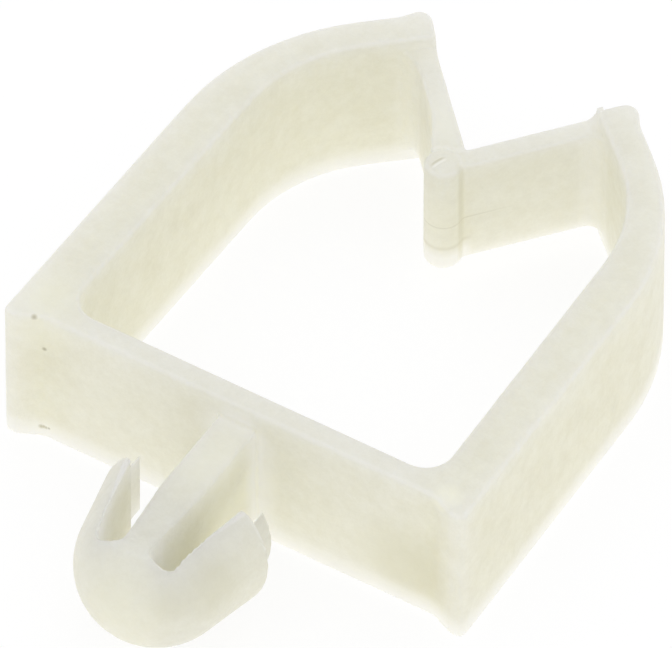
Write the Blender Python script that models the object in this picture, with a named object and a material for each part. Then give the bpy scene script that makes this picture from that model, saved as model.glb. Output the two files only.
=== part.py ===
"""U-shaped snap-in cable clip, moulded in one piece in natural nylon.

The clip lies on its flank: +Z runs across the strap, X along the base and +Y from the panel
towards the V-shaped entry. The origin is on the lower flank, in the middle of the base strap.
"""
import math

import bmesh
import bpy
from mathutils import Matrix, Vector

MM = 0.001

# Strap: the base and the two arms
STRAP_WIDTH = 5.8 * MM
CLIP_WIDTH = 17.3 * MM
BASE_THICKNESS = 0.85 * MM
ARM_THICKNESS = 1.72 * MM
TIP_THICKNESS = 1.15 * MM
ARM_LEAN = math.radians(1.4)
SHOULDER_HEIGHT = 13.9 * MM
TIP_SLOPE = math.radians(41.5)
OUTER_BEND_RADIUS = 8.3 * MM
INNER_BEND_RADIUS = 5.5 * MM
INNER_CORNER_RADIUS = 0.95 * MM
STRAP_EDGE_RADIUS = 0.15 * MM

# Toes that bear on the panel, one at each end of the base
TOE_HEIGHT = 0.38 * MM
TOE_LENGTH = 1.3 * MM
TOE_LAND = 0.5 * MM
TOE_BLEND_RADIUS = 0.9 * MM
TOE_CORNER_RADIUS = 0.25 * MM

# Raised rim along each arm's tip, and the end face that slopes towards the entry
RIM_HEIGHT = 0.28 * MM
RIM_LENGTH = 1.0 * MM
RIM_BLEND_RADIUS = 0.8 * MM
RIM_NOSE_RADIUS = 0.45 * MM
END_FACE_HEIGHT = 13.42 * MM
END_FACE_SLOPE = math.radians(50.0)
END_FACE_CORNER_RADIUS = 0.2 * MM

# Entry: two lips that meet in a V, and the bead on the right-hand lip
ENTRY_HEIGHT = 13.89 * MM
RIGHT_LIP_SLOPE = math.radians(50.4)
LEFT_LIP_SLOPE = math.radians(46.2)
LIP_WIDTH = 4.3 * MM
LIP_THICKNESS = 0.72 * MM
LIP_ROOT_RADIUS = 0.6 * MM
LIP_FLARE_RADIUS = 0.4 * MM
LIP_FLARE = 0.46 * MM
LIP_OVERLAP = 0.3 * MM
LEFT_LIP_TAPER = math.radians(14.5)
TAPER_START = 1.75 * MM
TAPER_BLEND_RADIUS = 3.0 * MM
BEAD_RADIUS = 0.64 * MM
BEAD_LENGTH = 4.5 * MM
BEAD_REACH = 0.88 * MM
BEAD_EDGE_RADIUS = 0.16 * MM
ENTRY_GAP = 0.08 * MM

# Snap-in foot
FOOT_WIDTH = 4.25 * MM
FOOT_LENGTH = 7.57 * MM
NOSE_RADIUS = 2.68 * MM
BARB_TAPER = math.radians(11.5)
BARB_REACH = 3.1 * MM
TAIL_STEP = 0.45 * MM
TAIL_LENGTH = 0.92 * MM
TAIL_INNER_REACH = 2.3 * MM
STEM_THICKNESS = 1.4 * MM
STEM_ROOT_THICKNESS = 0.92 * MM
STEM_SHOULDER = 3.5 * MM
SLOT_DEPTH = 1.2 * MM
SLOT_FLOOR_WIDTH = 0.96 * MM
SLOT_MOUTH_WIDTH = 1.36 * MM
SLOT_FLOOR_RADIUS = 0.4 * MM

# Fineness of the round stretches
ARC_STEP = math.radians(12.0)
ARC_SAG = 0.006 * MM
TURN_STEPS = 48
SUNK = 0.06 * MM

NYLON_COLOUR = (0.80, 0.78, 0.66, 1.0)
NYLON_ROUGHNESS = 0.42

# Places that follow from the sizes above
MID_Z = STRAP_WIDTH / 2
PANEL_FACE = -BASE_THICKNESS / 2
CABLE_FACE = BASE_THICKNESS / 2
FOOT_LOW = MID_Z - FOOT_WIDTH / 2
FOOT_HIGH = MID_Z + FOOT_WIDTH / 2
NOSE_TIP = PANEL_FACE - FOOT_LENGTH
BARB_RIM = PANEL_FACE - BARB_REACH
TAIL_END = BARB_RIM + TAIL_LENGTH


def heading(angle):
    return Vector((math.cos(angle), math.sin(angle)))


def left_of(direction):
    return Vector((-direction.y, direction.x))


def mirror(point):
    return Vector((-point.x, point.y))


def crossing(point_a, along_a, point_b, along_b):
    """Where two lines in the plan meet."""
    across = along_a.x * along_b.y - along_a.y * along_b.x
    gap = point_b - point_a
    reach = (gap.x * along_b.y - gap.y * along_b.x) / across
    return point_a + along_a * reach


def arc_points(centre, radius, start, sweep):
    step = min(ARC_STEP, 2 * math.acos(1 - ARC_SAG / radius))
    count = max(2, math.ceil(abs(sweep) / step))
    return [centre + heading(start + sweep * i / count) * radius for i in range(count + 1)]


def rounded(corners):
    """A closed outline: each corner is a point and the radius of its fillet."""
    outline = []
    for i, (point, radius) in enumerate(corners):
        before = (point - corners[i - 1][0]).normalized()
        after = (corners[(i + 1) % len(corners)][0] - point).normalized()
        turn = math.atan2(before.x * after.y - before.y * after.x, before.dot(after))
        if radius == 0:
            outline.append(point)
            continue
        start = point - before * radius * math.tan(abs(turn) / 2)
        centre = start + left_of(before) * math.copysign(radius, turn)
        first = math.atan2(start.y - centre.y, start.x - centre.x)
        outline += arc_points(centre, radius, first, turn)
    return outline


def box_outline(x_low, y_low, x_high, y_high):
    return [Vector(p) for p in ((x_low, y_low), (x_high, y_low), (x_high, y_high), (x_low, y_high))]


def add_object(name, bm):
    mesh = bpy.data.meshes.new(name)
    bm.normal_update()
    bm.to_mesh(mesh)
    bm.free()
    obj = bpy.data.objects.new(name, mesh)
    bpy.context.collection.objects.link(obj)
    return obj


def prism(name, outline, low, high, edge_radius=0.0, place=None):
    """An outline drawn up from low to high, with both rims rounded, then turned into place."""
    bm = bmesh.new()
    floor = bm.faces.new([bm.verts.new((p.x, p.y, low)) for p in outline])
    drawn = bmesh.ops.extrude_face_region(bm, geom=[floor])["geom"]
    lifted = [v for v in drawn if isinstance(v, bmesh.types.BMVert)]
    bmesh.ops.translate(bm, verts=lifted, vec=(0, 0, high - low))
    if edge_radius:
        rims = [e for e in bm.edges if abs(e.verts[0].co.z - e.verts[1].co.z) < SUNK]
        bmesh.ops.bevel(bm, geom=rims, offset=edge_radius, segments=2, profile=0.5, affect="EDGES")
    if place:
        bmesh.ops.transform(bm, matrix=place, verts=bm.verts)
    bmesh.ops.recalc_face_normals(bm, faces=bm.faces)
    return add_object(name, bm)


def turned(name, profile):
    """A profile of (radius, y) points turned about the foot's axis."""
    bm = bmesh.new()
    points = [bm.verts.new((radius, y, MID_Z)) for radius, y in profile]
    edges = [bm.edges.new(pair) for pair in zip(points, points[1:])]
    bmesh.ops.spin(bm, geom=points + edges, cent=(0, 0, MID_Z), axis=(0, 1, 0),
                   angle=2 * math.pi, steps=TURN_STEPS)
    bmesh.ops.remove_doubles(bm, verts=bm.verts, dist=SUNK / 100)
    bmesh.ops.recalc_face_normals(bm, faces=bm.faces)
    return add_object(name, bm)


def combine(target, tool, operation):
    """Joins, cuts or trims the target with a tool, which stays in the file as a hidden guide."""
    modifier = target.modifiers.new(tool.name, "BOOLEAN")
    modifier.operation = operation
    modifier.object = tool
    tool.hide_render = True
    tool.display_type = "WIRE"


class Arm:
    """Lines and corners of the right-hand arm, shared by the strap and the lips."""

    up = heading(math.pi / 2 + ARM_LEAN)
    over = heading(math.pi - TIP_SLOPE)
    end_along = heading(END_FACE_SLOPE)
    foot = Vector((CLIP_WIDTH / 2, PANEL_FACE))
    inner_foot = foot + left_of(up) * ARM_THICKNESS
    shoulder = crossing(foot, up, Vector((0, PANEL_FACE + SHOULDER_HEIGHT)), heading(0))
    inner_line = shoulder + left_of(over) * TIP_THICKNESS
    inner_shoulder = crossing(inner_foot, up, inner_line, over)
    end_line = Vector((0, PANEL_FACE + END_FACE_HEIGHT))
    tip = crossing(shoulder, over, end_line, end_along)
    inner_tip = crossing(inner_line, over, end_line, end_along)


def strap_outline():
    """The base, both arms and their tips as one outline, right half first."""
    corner = crossing(Arm.foot, Arm.up, Vector((0, PANEL_FACE - TOE_HEIGHT)), heading(0))
    inner_corner = crossing(Arm.inner_foot, Arm.up, Vector((0, CABLE_FACE)), heading(0))
    right = [
        (Vector((corner.x - TOE_LENGTH, PANEL_FACE)), TOE_BLEND_RADIUS),
        (Vector((corner.x - TOE_LAND, corner.y)), 0),
        (corner, TOE_CORNER_RADIUS),
        (Arm.shoulder, OUTER_BEND_RADIUS),
        (Arm.tip - Arm.over * RIM_LENGTH, RIM_BLEND_RADIUS),
        (Arm.tip + Arm.end_along * RIM_HEIGHT, RIM_NOSE_RADIUS),
        (Arm.inner_tip, END_FACE_CORNER_RADIUS),
        (Arm.inner_shoulder, INNER_BEND_RADIUS),
        (inner_corner, INNER_CORNER_RADIUS),
    ]
    left = [(mirror(point), radius) for point, radius in reversed(right)]
    return rounded(right + left)


class Lip:
    """One lip: out runs from the vee to the arm, under points to the cable."""

    vee = Vector((0, PANEL_FACE + ENTRY_HEIGHT))
    low = MID_Z - LIP_WIDTH / 2
    high = MID_Z + LIP_WIDTH / 2

    def __init__(self, side):
        slope = RIGHT_LIP_SLOPE if side > 0 else LEFT_LIP_SLOPE
        self.out = Vector((side * math.cos(slope), math.sin(slope)))
        self.under = Vector((side * math.sin(slope), -math.cos(slope)))
        self.into_arm = Vector((-side * left_of(Arm.over).x, -left_of(Arm.over).y))
        self.down_arm = Vector((-side * Arm.over.x, -Arm.over.y))
        self.arm_line = Vector((side * Arm.inner_line.x, Arm.inner_line.y)) + self.into_arm * (SUNK / 6)
        self.arm_at = (crossing(self.vee, self.out, self.arm_line, self.down_arm) - self.vee).length

    def at(self, along, deep):
        return self.vee + self.out * along + self.under * deep

    def place(self):
        """Turns a shape drawn as (along the lip, across the strap, through the lip) into place."""
        columns = (self.out.to_3d(), Vector((0, 0, 1)), self.under.to_3d(), self.vee.to_3d())
        return Matrix([[column[row] for column in columns] for row in range(3)] + [[0, 0, 0, 1]])

    def plan(self, taper):
        """The lip seen from above: it thickens to its free end, and a fillet joins it to the arm."""
        root = crossing(self.at(0, LIP_THICKNESS), self.out, self.arm_line, self.down_arm)
        below_root = root + self.down_arm * 2 * LIP_ROOT_RADIUS
        end_thickness = LIP_THICKNESS + (TAPER_START + BEAD_REACH) * math.tan(taper)
        return rounded([
            (self.at(-BEAD_REACH, 0), 0),
            (self.at(self.arm_at + LIP_OVERLAP, 0), 0),
            (below_root + self.into_arm * LIP_OVERLAP, 0),
            (below_root, 0),
            (root, LIP_ROOT_RADIUS),
            (self.at(TAPER_START, LIP_THICKNESS), TAPER_BLEND_RADIUS if taper else 0),
            (self.at(-BEAD_REACH, end_thickness), 0),
        ])

    def flared_side(self):
        """The lip seen square on: it flares to both flanks where it runs into the arm."""
        wall = self.arm_at + SUNK
        return rounded([
            (Vector((-LIP_WIDTH, self.low)), 0),
            (Vector((wall, self.low)), LIP_FLARE_RADIUS),
            (Vector((wall, self.low - LIP_FLARE)), 0),
            (Vector((wall + LIP_WIDTH, self.low - LIP_FLARE)), 0),
            (Vector((wall + LIP_WIDTH, self.high + LIP_FLARE)), 0),
            (Vector((wall, self.high + LIP_FLARE)), 0),
            (Vector((wall, self.high)), LIP_FLARE_RADIUS),
            (Vector((-LIP_WIDTH, self.high)), 0),
        ])

    def solid(self, name, taper=0.0):
        lip = prism(name, self.plan(taper), 0, STRAP_WIDTH)
        sides = prism(name + "_sides", self.flared_side(), -LIP_WIDTH, LIP_WIDTH, 0, self.place())
        combine(lip, sides, "INTERSECT")
        return lip


def make_lips():
    """Both lips and the bead, with the left-hand lip cut back to leave the entry gap."""
    right = Lip(1)
    left = Lip(-1)
    bead_at = right.at(-BEAD_REACH, LIP_THICKNESS / 2)
    bead = prism("bead", arc_points(bead_at, BEAD_RADIUS, 0, 2 * math.pi)[:-1],
                 MID_Z - BEAD_LENGTH / 2, MID_Z + BEAD_LENGTH / 2, BEAD_EDGE_RADIUS)
    right_lip = right.solid("right_lip")
    left_lip = left.solid("left_lip", LEFT_LIP_TAPER)
    far = LIP_WIDTH
    gap_corners = ((-far, -ENTRY_GAP), (far, -ENTRY_GAP), (far, far), (-far, far))
    gap_side = [right.at(along, deep) for along, deep in gap_corners]
    gap_round = arc_points(bead_at, BEAD_RADIUS + ENTRY_GAP, 0, 2 * math.pi)[:-1]
    for name, outline in (("entry_gap", gap_side), ("bead_gap", gap_round)):
        combine(left_lip, prism(name, outline, 0, STRAP_WIDTH), "DIFFERENCE")
    return [right_lip, bead, left_lip]


def foot_profile():
    """From the nose to the free ends of the barbs: a ball, a taper, a rim and a thinner tail."""
    top = math.pi / 2 - BARB_TAPER
    count = math.ceil(top / math.acos(1 - 2 * ARC_SAG / NOSE_RADIUS))
    ball = []
    for i in range(count + 1):
        angle = top * i / count
        ball.append((NOSE_RADIUS * math.sin(angle), NOSE_TIP + NOSE_RADIUS * (1 - math.cos(angle))))
    radius, y = ball[-1]
    rim = radius + (BARB_RIM - y) * math.tan(BARB_TAPER)
    tail = rim - TAIL_STEP
    return ball + [(rim, BARB_RIM), (tail, BARB_RIM + TAIL_STEP / 3), (tail, TAIL_END), (0, TAIL_END)]


def slot_outline(side):
    """The slot between the stem and one barb, open towards the base."""
    floor = NOSE_TIP + SLOT_DEPTH
    beyond = TAIL_END + TAIL_LENGTH
    root = STEM_ROOT_THICKNESS / 2
    stem = STEM_THICKNESS / 2
    corners = [
        (stem, beyond, 0),
        (stem, PANEL_FACE - STEM_SHOULDER, 0),
        (root, floor, SLOT_FLOOR_RADIUS),
        (root + SLOT_FLOOR_WIDTH, floor, SLOT_FLOOR_RADIUS),
        (stem + SLOT_MOUTH_WIDTH, BARB_RIM, 0),
        (TAIL_INNER_REACH, BARB_RIM, 0),
        (TAIL_INNER_REACH, beyond, 0),
    ]
    return rounded([(Vector((side * x, y)), radius) for x, y, radius in corners])


def make_foot():
    """The round nose and barbs, trimmed flat on both flanks and slotted beside the stem."""
    foot = turned("foot_turned", foot_profile())
    reach = 2 * FOOT_LENGTH
    slab = box_outline(-reach, -reach, reach, reach)
    combine(foot, prism("foot_flats", slab, FOOT_LOW, FOOT_HIGH), "INTERSECT")
    for name, side in (("right_slot", 1), ("left_slot", -1)):
        combine(foot, prism(name, slot_outline(side), 0, STRAP_WIDTH), "DIFFERENCE")
    return foot


def make_stem():
    half = STEM_THICKNESS / 2
    return prism("foot_stem", box_outline(-half, BARB_RIM, half, 0), FOOT_LOW, FOOT_HIGH)


def nylon():
    material = bpy.data.materials.new("natural_nylon")
    material.use_nodes = True
    shader = material.node_tree.nodes["Principled BSDF"]
    shader.inputs["Base Color"].default_value = NYLON_COLOUR
    shader.inputs["Roughness"].default_value = NYLON_ROUGHNESS
    shader.inputs["Metallic"].default_value = 0.0
    return material


def make_clip():
    clip = prism("clip_body", strap_outline(), 0, STRAP_WIDTH, STRAP_EDGE_RADIUS)
    clip.data.materials.append(nylon())
    for piece in make_lips() + [make_stem(), make_foot()]:
        combine(clip, piece, "UNION")
    clip.data.shade_smooth()
    clip.data.set_sharp_from_angle(angle=math.radians(30))


for old in list(bpy.data.objects):
    bpy.data.objects.remove(old, do_unlink=True)
make_clip()
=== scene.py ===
"""Looks of the U-shaped cable clip: translucent natural nylon on a plain white table."""
import math

import bmesh
import bpy
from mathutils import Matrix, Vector, kdtree, noise


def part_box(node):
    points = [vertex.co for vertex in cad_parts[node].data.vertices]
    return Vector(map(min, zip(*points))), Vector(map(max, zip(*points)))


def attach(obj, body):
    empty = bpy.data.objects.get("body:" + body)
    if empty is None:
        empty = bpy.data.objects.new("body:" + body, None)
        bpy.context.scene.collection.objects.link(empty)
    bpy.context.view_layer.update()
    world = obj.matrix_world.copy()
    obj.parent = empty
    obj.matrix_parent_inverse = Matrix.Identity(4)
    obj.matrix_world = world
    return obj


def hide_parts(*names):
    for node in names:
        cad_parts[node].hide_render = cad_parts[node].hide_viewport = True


MM = 0.001

# Camera, fitted to the photograph, with its clipping in shares of its distance
AZIMUTH = math.radians(31.735)
ELEVATION = math.radians(47.716)
LENS = 1500.0
SENSOR = 36.0
FRAME_WIDTH = 21.55 * MM
AIM = Vector((-0.189, 5.835, 3.723)) * MM
CLIP_START = 0.01
CLIP_END = 4.0

# Skin of the moulding
VOXEL = 0.055 * MM
SAME_POINT = VOXEL / 50
SOFTEN_STEPS = 8
SOFTEN_AMOUNT = 0.5
TRIANGLES_PER_QUAD = 2
KEEP_TRIANGLES = 180000
WAVE_LENGTH = 1.1 * MM
WAVE_HEIGHT = 0.006 * MM
BURR_LENGTH = 0.22 * MM
BURR_HEIGHT = 0.05 * MM
BURR_REACH = 0.55 * MM
BURR_PLACES = [Vector(place) * MM for place in (
    (2.94, -3.6, 3.8), (2.75, -2.75, 3.4), (-2.3, -2.9, 4.9), (7.9, -0.55, 0.1),
)]

# Sharp upper edges of the CAD, beside which a painted highlight makes the skin paler: most on the
# barbs, not on the stem
RIM_HIGHLIGHT_LAYER = "painted_rim_highlight"
RIM_ANGLE = math.radians(40)
RIM_LOWEST = 3.6 * MM
RIM_STEP = 0.05 * MM
RIM_FEWEST_STEPS = 2
RIM_REACH = 0.11 * MM
RIM_FADE = 0.07 * MM
BARB_RIM = 0.65
STRAP_RIM = 0.26
FOOT_START = -0.6 * MM
STEM_SIDE = 1.0 * MM
FOOT_SIDE = 4.0 * MM

# Nylon: colours, scattering inside, cloudiness and grain (scales in waves per metre)
NYLON_LIGHT = (0.81, 0.80, 0.69, 1.0)
NYLON_DEEP = (0.755, 0.74, 0.625, 1.0)
# Painted light: the pale tint of the painted glow and of the painted highlights
PAINTED_LIGHT_TINT = (0.975, 0.965, 0.885, 1.0)
# Tints of the soft patches of painted light and painted shade
PAINTED_PATCH_LIGHT = (0.91, 0.895, 0.72, 1.0)
PAINTED_PATCH_SHADE = (0.66, 0.645, 0.52, 1.0)
# Dark tint of the parting line, and of painted shade on the bead and beside its scar
LINE_AND_PAINTED_SHADE = (0.60, 0.58, 0.47, 1.0)
SPECK = (0.36, 0.34, 0.27, 1.0)
NYLON_IOR = 1.53
SCATTERED = 0.85
SCATTER_REACH = 4.0 * MM
SCATTER_RGB = (1.0, 0.95, 0.8)
CLOUD_SCALE = 1100.0
CLOUD_DETAIL = 5.0
CLOUD_ROUGHNESS = 0.85
CLOUD_RANGE = (0.35, 0.65)
GRAIN_SCALE = 9000.0
GRAIN_DETAIL = 3.0
GRAIN_STRENGTH = 0.5
GRAIN_DEPTH = 0.02 * MM
ROUGHNESS = (0.4, 0.6)
ROUGHNESS_RANGE = (0.3, 0.7)

# Painted glow: paler nylon in narrow gaps, by how far they are closed in
GLOW_REACH = 1.2 * MM
GLOW_SAMPLES = 8
GLOW_START = 0.92
GLOW_FULL = 0.55

# The marks and patches from here to the scar are in millimetres

# Height up to which a painted glow from the table makes every wall paler, most at the table
TABLE_BAND = 1.0

# Soft patches of painted light or painted shade: place, reach and amount
PATCH_CORE = 0.3
PAINTED_LIGHT_PATCHES = [
    ((0.5, -2.6, 5.1), 1.9, 0.5),
    ((0.0, -7.5, 3.2), 2.4, 0.45),
    ((-1.6, 14.0, 5.3), 1.7, 0.7),
    ((-0.5, 12.2, 3.2), 1.0, 0.3),
    ((-7.6, 0.3, 5.6), 1.8, 0.4),
    ((7.7, -0.2, 5.8), 0.6, 0.8),
    ((1.2, -2.6, 2.2), 1.9, 0.9),
    ((0.8, -0.9, 2.9), 1.0, 0.9),
]
PAINTED_SHADE_PATCHES = [
    ((2.4, -5.8, 3.8), 1.4, 0.6),
    ((1.6, -7.1, 3.7), 0.9, 0.5),
    ((6.4, -0.5, 1.8), 2.4, 0.75),
    ((1.9, 13.9, 4.5), 1.5, 0.3),
    ((3.4, 14.6, 2.2), 1.5, 0.15),
]

# Specks: place and radius
SPECKS = [
    ((-7.61, -0.52, 5.70), 0.075),
    ((-7.285, -0.435, 4.29), 0.06),
    ((-7.42, -0.47, 0.55), 0.07),
    ((-7.34, -0.45, 0.56), 0.06),
    ((-7.26, -0.44, 0.55), 0.05),
    ((-7.16, -0.43, 0.56), 0.04),
]
SPECK_EDGE = 1.8
SPECK_CORE = 0.4
SPECK_STRENGTH = 0.75

# Parting line round the bead and along the start of its lip: each limit is an axis, off and on
PARTING_HEIGHT = 2.65
PARTING_WIDTH = 0.05
PARTING_STRENGTH = 0.55
PARTING_LIMITS = [("Y", 11.2, 11.6), ("X", 1.5, 0.6), ("X", -0.95, -0.85)]

# Bead: its upright zone, the painted glow at its foot, a band of painted shade above that, and the
# painted shade in the corner by its lip
BEAD_AXIS = (-0.283, 12.56, 0.0)
BEAD_EDGE = 0.98
BEAD_CORE = 0.68
BEAD_GLOW_EDGE = 1.65
BEAD_GLOW_FULL = 1.2
SHADE_BAND_HEIGHT = 1.66
SHADE_BAND_WIDTH = 0.13
SHADE_BAND_STRENGTH = 0.5
CORNER_SHADE_Y = 12.6
CORNER_SHADE_WIDTH = 0.2
CORNER_SHADE_CORE = 0.06
CORNER_SHADE_STRENGTH = 0.5
CORNER_SHADE_X = (0.1, 0.3)

# Curved scar on the bead's top: part of a ring with a painted highlight on it, and a painted shade
# just outside it
SCAR_CENTRE = (1.29, 11.88, 5.15)
SCAR_RADIUS = 1.75
SCAR_SHADE_RADIUS = 1.858
SCAR_WIDTH = 0.06
SCAR_CORE = 0.018
SCAR_HIGHLIGHT_STRENGTH = 0.6
SCAR_MIDDLE = (-0.36, 12.43, 5.15)
SCAR_REACH = 0.33
SCAR_FULL = 0.198

# Light and table: each as it lights the clip, and as it is seen
WHITE = (1.0, 1.0, 1.0, 1.0)
SKY_ABOVE = (1.06, 1.07, 1.11, 1.0)
SKY_SIDE = (0.51, 0.50, 0.475, 1.0)
TABLE_TINT = (1.0, 0.985, 0.92, 1.0)
TABLE_GLOW = 1.0
TABLE_PAINT = 0.05
SEEN_GLOW = 0.82
SEEN_PAINT = 0.21
TABLE_HALF = 400 * MM


def make_camera():
    back = Vector((
        math.sin(AZIMUTH) * math.cos(ELEVATION),
        -math.cos(AZIMUTH) * math.cos(ELEVATION),
        math.sin(ELEVATION),
    ))
    data = bpy.data.cameras.new("camera")
    data.lens = LENS
    data.sensor_width = SENSOR
    camera = bpy.data.objects.new("camera", data)
    bpy.context.collection.objects.link(camera)
    distance = FRAME_WIDTH * LENS / SENSOR
    camera.location = AIM + back * distance
    camera.rotation_euler = (-back).to_track_quat("-Z", "Y").to_euler()
    data.clip_start = distance * CLIP_START
    data.clip_end = distance * CLIP_END
    bpy.context.scene.camera = camera


def welded(mesh):
    """A BMesh of the mesh, with its doubled points joined."""
    bm = bmesh.new()
    bm.from_mesh(mesh)
    bmesh.ops.remove_doubles(bm, verts=bm.verts, dist=SAME_POINT)
    return bm


def apply_modifiers(piece):
    bpy.context.view_layer.update()
    depsgraph = bpy.context.evaluated_depsgraph_get()
    piece.data = bpy.data.meshes.new_from_object(piece.evaluated_get(depsgraph))
    piece.modifiers.clear()


def moulded_skin(node):
    """The clip's mesh with the soft edges and blends of a real moulding."""
    mesh = node.data.copy()
    skin = bpy.data.objects.new("clip_skin", mesh)
    bpy.context.collection.objects.link(skin)
    bm = welded(mesh)
    bm.to_mesh(mesh)
    bm.free()
    remesh = skin.modifiers.new("remesh", "REMESH")
    remesh.mode = "VOXEL"
    remesh.voxel_size = VOXEL
    soften = skin.modifiers.new("soften", "SMOOTH")
    soften.factor = SOFTEN_AMOUNT
    soften.iterations = SOFTEN_STEPS
    apply_modifiers(skin)
    thin = skin.modifiers.new("thin", "DECIMATE")
    thin.ratio = KEEP_TRIANGLES / (TRIANGLES_PER_QUAD * len(skin.data.polygons))
    apply_modifiers(skin)
    return skin


def rim_points(node):
    """Points along the sharp upper edges of the CAD, leaving out the stem's."""
    bm = welded(node.data)
    points = []
    for edge in bm.edges:
        start, end = (vertex.co for vertex in edge.verts)
        middle = (start + end) / 2
        on_stem = middle.y < FOOT_START and abs(middle.x) < STEM_SIDE
        if middle.z < RIM_LOWEST or on_stem:
            continue
        if edge.calc_face_angle_signed() > RIM_ANGLE:
            count = max(RIM_FEWEST_STEPS, int(edge.calc_length() / RIM_STEP))
            points += [start.lerp(end, i / count) for i in range(count + 1)]
    bm.free()
    return points


def mark_rims(skin, node):
    """Store on the skin how much paler a painted highlight makes each point for being near a sharp
    upper edge.
    """
    points = rim_points(node)
    tree = kdtree.KDTree(len(points))
    for i, point in enumerate(points):
        tree.insert(point, i)
    tree.balance()
    layer = skin.data.attributes.new(RIM_HIGHLIGHT_LAYER, "FLOAT", "POINT")
    for vertex in skin.data.vertices:
        away = tree.find(vertex.co)[2]
        near = min(1.0, max(0.0, (RIM_REACH - away) / RIM_FADE))
        on_barb = vertex.co.y < FOOT_START and abs(vertex.co.x) < FOOT_SIDE
        layer.data[vertex.index].value = near * (BARB_RIM if on_barb else STRAP_RIM)


def uneven(skin):
    """Faint waves over the whole skin, and small burrs where the mould left them."""
    mesh = skin.data
    table_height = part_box("clip_body")[0][2]
    moved = []
    for vertex in mesh.vertices:
        place = vertex.co
        rise = WAVE_HEIGHT * noise.noise(place / WAVE_LENGTH)
        near = min((place - burr).length for burr in BURR_PLACES)
        if near < BURR_REACH:
            fade = 1 - near / BURR_REACH
            rise += BURR_HEIGHT * fade * noise.noise(place / BURR_LENGTH)
        moved.append(place + vertex.normal * rise)
    for vertex, place in zip(mesh.vertices, moved):
        vertex.co = (place.x, place.y, max(place.z, table_height))
    mesh.update()
    mesh.shade_smooth()


def add_node(tree, kind, inputs, **settings):
    """A new shader node, with its settings, then its inputs as plain values or links."""
    node = tree.nodes.new("ShaderNode" + kind)
    for name, value in settings.items():
        setattr(node, name, value)
    for name, value in inputs.items():
        if isinstance(value, bpy.types.NodeSocket):
            tree.links.new(value, node.inputs[name])
        else:
            node.inputs[name].default_value = value
    return node


def map_range(tree, value, low, high, to_low=0.0, to_high=1.0):
    node = add_node(tree, "MapRange", {
        "From Min": low, "From Max": high, "To Min": to_low, "To Max": to_high, "Value": value,
    })
    return node.outputs["Result"]


def calculate(tree, operation, first, second=0.0):
    node = add_node(tree, "Math", {0: first, 1: second}, operation=operation)
    return node.outputs["Value"]


def mix_colour(tree, factor, first, second):
    inputs = {"Factor": factor, "A": first, "B": second}
    return add_node(tree, "Mix", inputs, data_type="RGBA").outputs["Result"]


def distance_to(tree, where, place):
    inputs = {0: where, 1: place}
    return add_node(tree, "VectorMath", inputs, operation="DISTANCE").outputs["Value"]


def stripe(tree, value, middle, width, core=0.0, strength=1.0):
    """Strongest within core of the middle value, and nothing beyond width of it."""
    away = calculate(tree, "ABSOLUTE", calculate(tree, "SUBTRACT", value, middle))
    return map_range(tree, away, width, core, 0.0, strength)


def speck_mask(tree, place):
    mask = None
    for centre, radius in SPECKS:
        away = distance_to(tree, place, centre)
        dot = map_range(tree, away, radius * SPECK_EDGE, radius * SPECK_CORE, 0.0, SPECK_STRENGTH)
        mask = dot if mask is None else calculate(tree, "MAXIMUM", mask, dot)
    return mask


def parting_mask(tree, split):
    line = stripe(tree, split["Z"], PARTING_HEIGHT, PARTING_WIDTH, 0.0, PARTING_STRENGTH)
    for axis, off, on in PARTING_LIMITS:
        line = calculate(tree, "MULTIPLY", line, map_range(tree, split[axis], off, on))
    return line


def bead_mask(tree, split):
    """1 inside an upright cylinder round the bead."""
    flat = add_node(tree, "CombineXYZ", {"X": split["X"], "Y": split["Y"]})
    away = distance_to(tree, flat.outputs["Vector"], BEAD_AXIS)
    return map_range(tree, away, BEAD_EDGE, BEAD_CORE)


def bead_shade_band_mask(tree, split):
    """Painted shade: a level dark band low on the bead, just above its painted glow."""
    shade_band = stripe(tree, split["Z"], SHADE_BAND_HEIGHT, SHADE_BAND_WIDTH, 0.0, SHADE_BAND_STRENGTH)
    return calculate(tree, "MULTIPLY", shade_band, bead_mask(tree, split))


def corner_shade_mask(tree, split):
    """Painted shade: an upright dark band in the corner where the bead meets its lip."""
    corner_shade = stripe(tree, split["Y"], CORNER_SHADE_Y, CORNER_SHADE_WIDTH, CORNER_SHADE_CORE, CORNER_SHADE_STRENGTH)
    corner_shade = calculate(tree, "MULTIPLY", corner_shade, map_range(tree, split["X"], *CORNER_SHADE_X))
    return calculate(tree, "MULTIPLY", corner_shade, bead_mask(tree, split))


def scar_mask(tree, place, radius):
    """The part of a ring of this radius that lies on the bead's top."""
    reach = distance_to(tree, place, SCAR_MIDDLE)
    inside = map_range(tree, reach, SCAR_REACH, SCAR_FULL)
    away = distance_to(tree, place, SCAR_CENTRE)
    ring = stripe(tree, away, radius, SCAR_WIDTH, SCAR_CORE)
    return calculate(tree, "MULTIPLY", ring, inside)


def painted_light_amount(tree, split):
    """How pale painted light makes the nylon: a painted glow in gaps, low on the bead and by the
    table, and a painted highlight on sharp upper edges.
    """
    near = add_node(tree, "AmbientOcclusion", {"Distance": GLOW_REACH}, samples=GLOW_SAMPLES)
    painted_gap_glow = map_range(tree, near.outputs["AO"], GLOW_START, GLOW_FULL)
    painted_rim_highlight = add_node(tree, "Attribute", {}, attribute_name=RIM_HIGHLIGHT_LAYER)
    total = calculate(tree, "MAXIMUM", painted_gap_glow, painted_rim_highlight.outputs["Fac"])
    low = map_range(tree, split["Z"], BEAD_GLOW_EDGE, BEAD_GLOW_FULL)
    low = calculate(tree, "MULTIPLY", low, bead_mask(tree, split))
    total = calculate(tree, "MAXIMUM", total, low)
    painted_table_glow = map_range(tree, split["Z"], TABLE_BAND, 0.0)
    return calculate(tree, "MAXIMUM", total, painted_table_glow)


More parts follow.
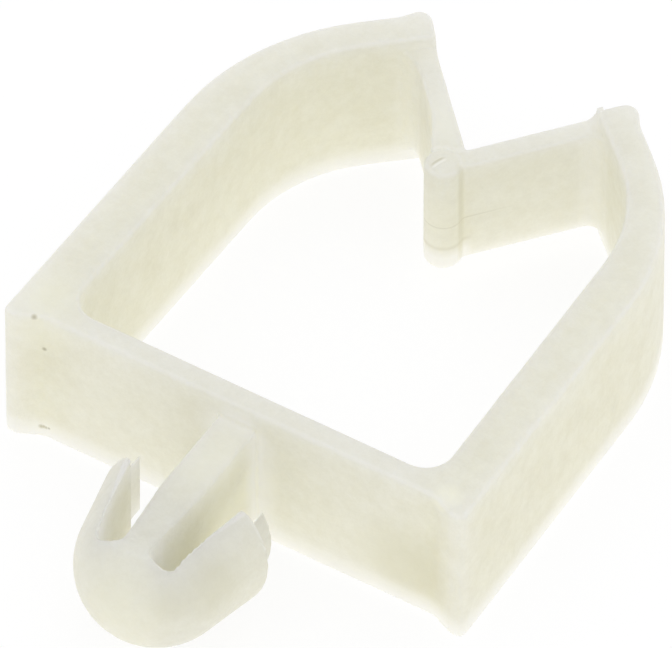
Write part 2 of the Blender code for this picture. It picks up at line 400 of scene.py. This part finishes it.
def add_painted_patches(tree, place, colour, patches, tint):
    """Soft patches of painted light or painted shade, where the moulding is thinner or thicker."""
    for centre, reach, amount in patches:
        away = distance_to(tree, place, centre)
        patch = map_range(tree, away, reach, reach * PATCH_CORE, 0.0, amount)
        colour = mix_colour(tree, patch, colour, tint)
    return colour


def nylon_colour(tree, where, cloud):
    scale = add_node(tree, "VectorMath", {0: where, "Scale": 1 / MM}, operation="SCALE")
    place = scale.outputs["Vector"]
    split = add_node(tree, "SeparateXYZ", {"Vector": place}).outputs
    colour = mix_colour(tree, map_range(tree, cloud, *CLOUD_RANGE), NYLON_LIGHT, NYLON_DEEP)
    # Painted light and painted shade in soft patches
    colour = add_painted_patches(tree, place, colour, PAINTED_LIGHT_PATCHES, PAINTED_PATCH_LIGHT)
    colour = add_painted_patches(tree, place, colour, PAINTED_SHADE_PATCHES, PAINTED_PATCH_SHADE)
    # Painted glow in gaps, low on the bead and by the table, and painted highlights on upper edges
    colour = mix_colour(tree, painted_light_amount(tree, split), colour, PAINTED_LIGHT_TINT)
    # The dark parting line, then painted shade: a band low on the bead, its corner by the lip, and
    # a ring beside the scar
    parting_line_and_painted_shades = [
        parting_mask(tree, split),
        bead_shade_band_mask(tree, split),
        corner_shade_mask(tree, split),
        scar_mask(tree, place, SCAR_SHADE_RADIUS),
    ]
    for shade in parting_line_and_painted_shades:
        colour = mix_colour(tree, shade, colour, LINE_AND_PAINTED_SHADE)
    # Painted highlight along the scar
    scar_highlight = calculate(tree, "MULTIPLY", scar_mask(tree, place, SCAR_RADIUS), SCAR_HIGHLIGHT_STRENGTH)
    colour = mix_colour(tree, scar_highlight, colour, PAINTED_LIGHT_TINT)
    return mix_colour(tree, speck_mask(tree, place), colour, SPECK)


def grainy_normal(tree, where):
    grain = add_node(tree, "TexNoise", {
        "Vector": where, "Scale": GRAIN_SCALE, "Detail": GRAIN_DETAIL,
    })
    bump = add_node(tree, "Bump", {
        "Strength": GRAIN_STRENGTH, "Distance": GRAIN_DEPTH, "Height": grain.outputs["Fac"],
    })
    return bump.outputs["Normal"]


def nylon():
    material = bpy.data.materials.new("natural_nylon_skin")
    material.use_nodes = True
    tree = material.node_tree
    shader = tree.nodes["Principled BSDF"]
    shader.inputs["IOR"].default_value = NYLON_IOR
    shader.inputs["Subsurface Weight"].default_value = SCATTERED
    shader.inputs["Subsurface Radius"].default_value = SCATTER_RGB
    shader.inputs["Subsurface Scale"].default_value = SCATTER_REACH
    where = add_node(tree, "TexCoord", {}).outputs["Object"]
    cloud = add_node(tree, "TexNoise", {
        "Vector": where, "Scale": CLOUD_SCALE, "Detail": CLOUD_DETAIL, "Roughness": CLOUD_ROUGHNESS,
    }).outputs["Fac"]
    roughness = map_range(tree, cloud, *ROUGHNESS_RANGE, *ROUGHNESS)
    tree.links.new(nylon_colour(tree, where, cloud), shader.inputs["Base Color"])
    tree.links.new(roughness, shader.inputs["Roughness"])
    tree.links.new(grainy_normal(tree, where), shader.inputs["Normal"])
    return material


def seen_ray(tree):
    """1 for the rays that show the background: straight, mirrored or through the nylon."""
    path = add_node(tree, "LightPath", {})
    seen = path.outputs["Is Camera Ray"]
    for ray in ("Is Glossy Ray", "Is Transmission Ray"):
        seen = calculate(tree, "MAXIMUM", seen, path.outputs[ray])
    return seen


def glowing_paint(tree, tint, glow_strength, shade):
    """A shader that glows evenly and also takes light and shadow as a diffuse paint."""
    paint = add_node(tree, "BsdfDiffuse", {"Color": (shade, shade, shade, 1.0)})
    glow = add_node(tree, "Emission", {"Color": tint, "Strength": glow_strength})
    both = add_node(tree, "AddShader", {0: paint.outputs["BSDF"], 1: glow.outputs["Emission"]})
    return both.outputs["Shader"]


def table_material():
    """A softly glowing white table that shows as white and keeps a faint shadow."""
    material = bpy.data.materials.new("table_white")
    material.use_nodes = True
    tree = material.node_tree
    tree.nodes.remove(tree.nodes["Principled BSDF"])
    lighting = glowing_paint(tree, TABLE_TINT, TABLE_GLOW, TABLE_PAINT)
    looks = glowing_paint(tree, WHITE, SEEN_GLOW, SEEN_PAINT)
    blend = add_node(tree, "MixShader", {"Fac": seen_ray(tree), 1: lighting, 2: looks})
    tree.links.new(blend.outputs["Shader"], tree.nodes["Material Output"].inputs["Surface"])
    return material


def make_table():
    mesh = bpy.data.meshes.new("table")
    corners = [(-1, -1), (1, -1), (1, 1), (-1, 1)]
    points = [(x * TABLE_HALF, y * TABLE_HALF, 0) for x, y in corners]
    mesh.from_pydata(points, [], [(0, 1, 2, 3)])
    table = bpy.data.objects.new("table", mesh)
    bpy.context.collection.objects.link(table)
    mesh.materials.append(table_material())


def make_light():
    """A soft sky that is brighter overhead, and white where it is seen."""
    world = bpy.data.worlds.new("studio")
    world.use_nodes = True
    tree = world.node_tree
    where = add_node(tree, "TexCoord", {}).outputs["Generated"]
    split = add_node(tree, "SeparateXYZ", {"Vector": where}).outputs
    sky = mix_colour(tree, map_range(tree, split["Z"], 0.0, 1.0), SKY_SIDE, SKY_ABOVE)
    sky = mix_colour(tree, seen_ray(tree), sky, WHITE)
    tree.links.new(sky, tree.nodes["Background"].inputs["Color"])
    bpy.context.scene.world = world


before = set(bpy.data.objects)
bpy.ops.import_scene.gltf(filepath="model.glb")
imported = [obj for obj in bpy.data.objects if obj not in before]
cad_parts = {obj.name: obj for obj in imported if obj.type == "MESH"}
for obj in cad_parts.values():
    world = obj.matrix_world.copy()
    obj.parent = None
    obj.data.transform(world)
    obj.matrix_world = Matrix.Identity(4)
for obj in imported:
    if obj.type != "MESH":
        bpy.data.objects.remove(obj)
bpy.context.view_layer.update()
bpy.context.scene.view_settings.view_transform = "Standard"

make_camera()
make_light()
make_table()

skin = moulded_skin(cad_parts["clip_body"])
mark_rims(skin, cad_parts["clip_body"])
uneven(skin)
skin.data.materials.clear()
skin.data.materials.append(nylon())
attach(skin, "root")
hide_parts("clip_body")
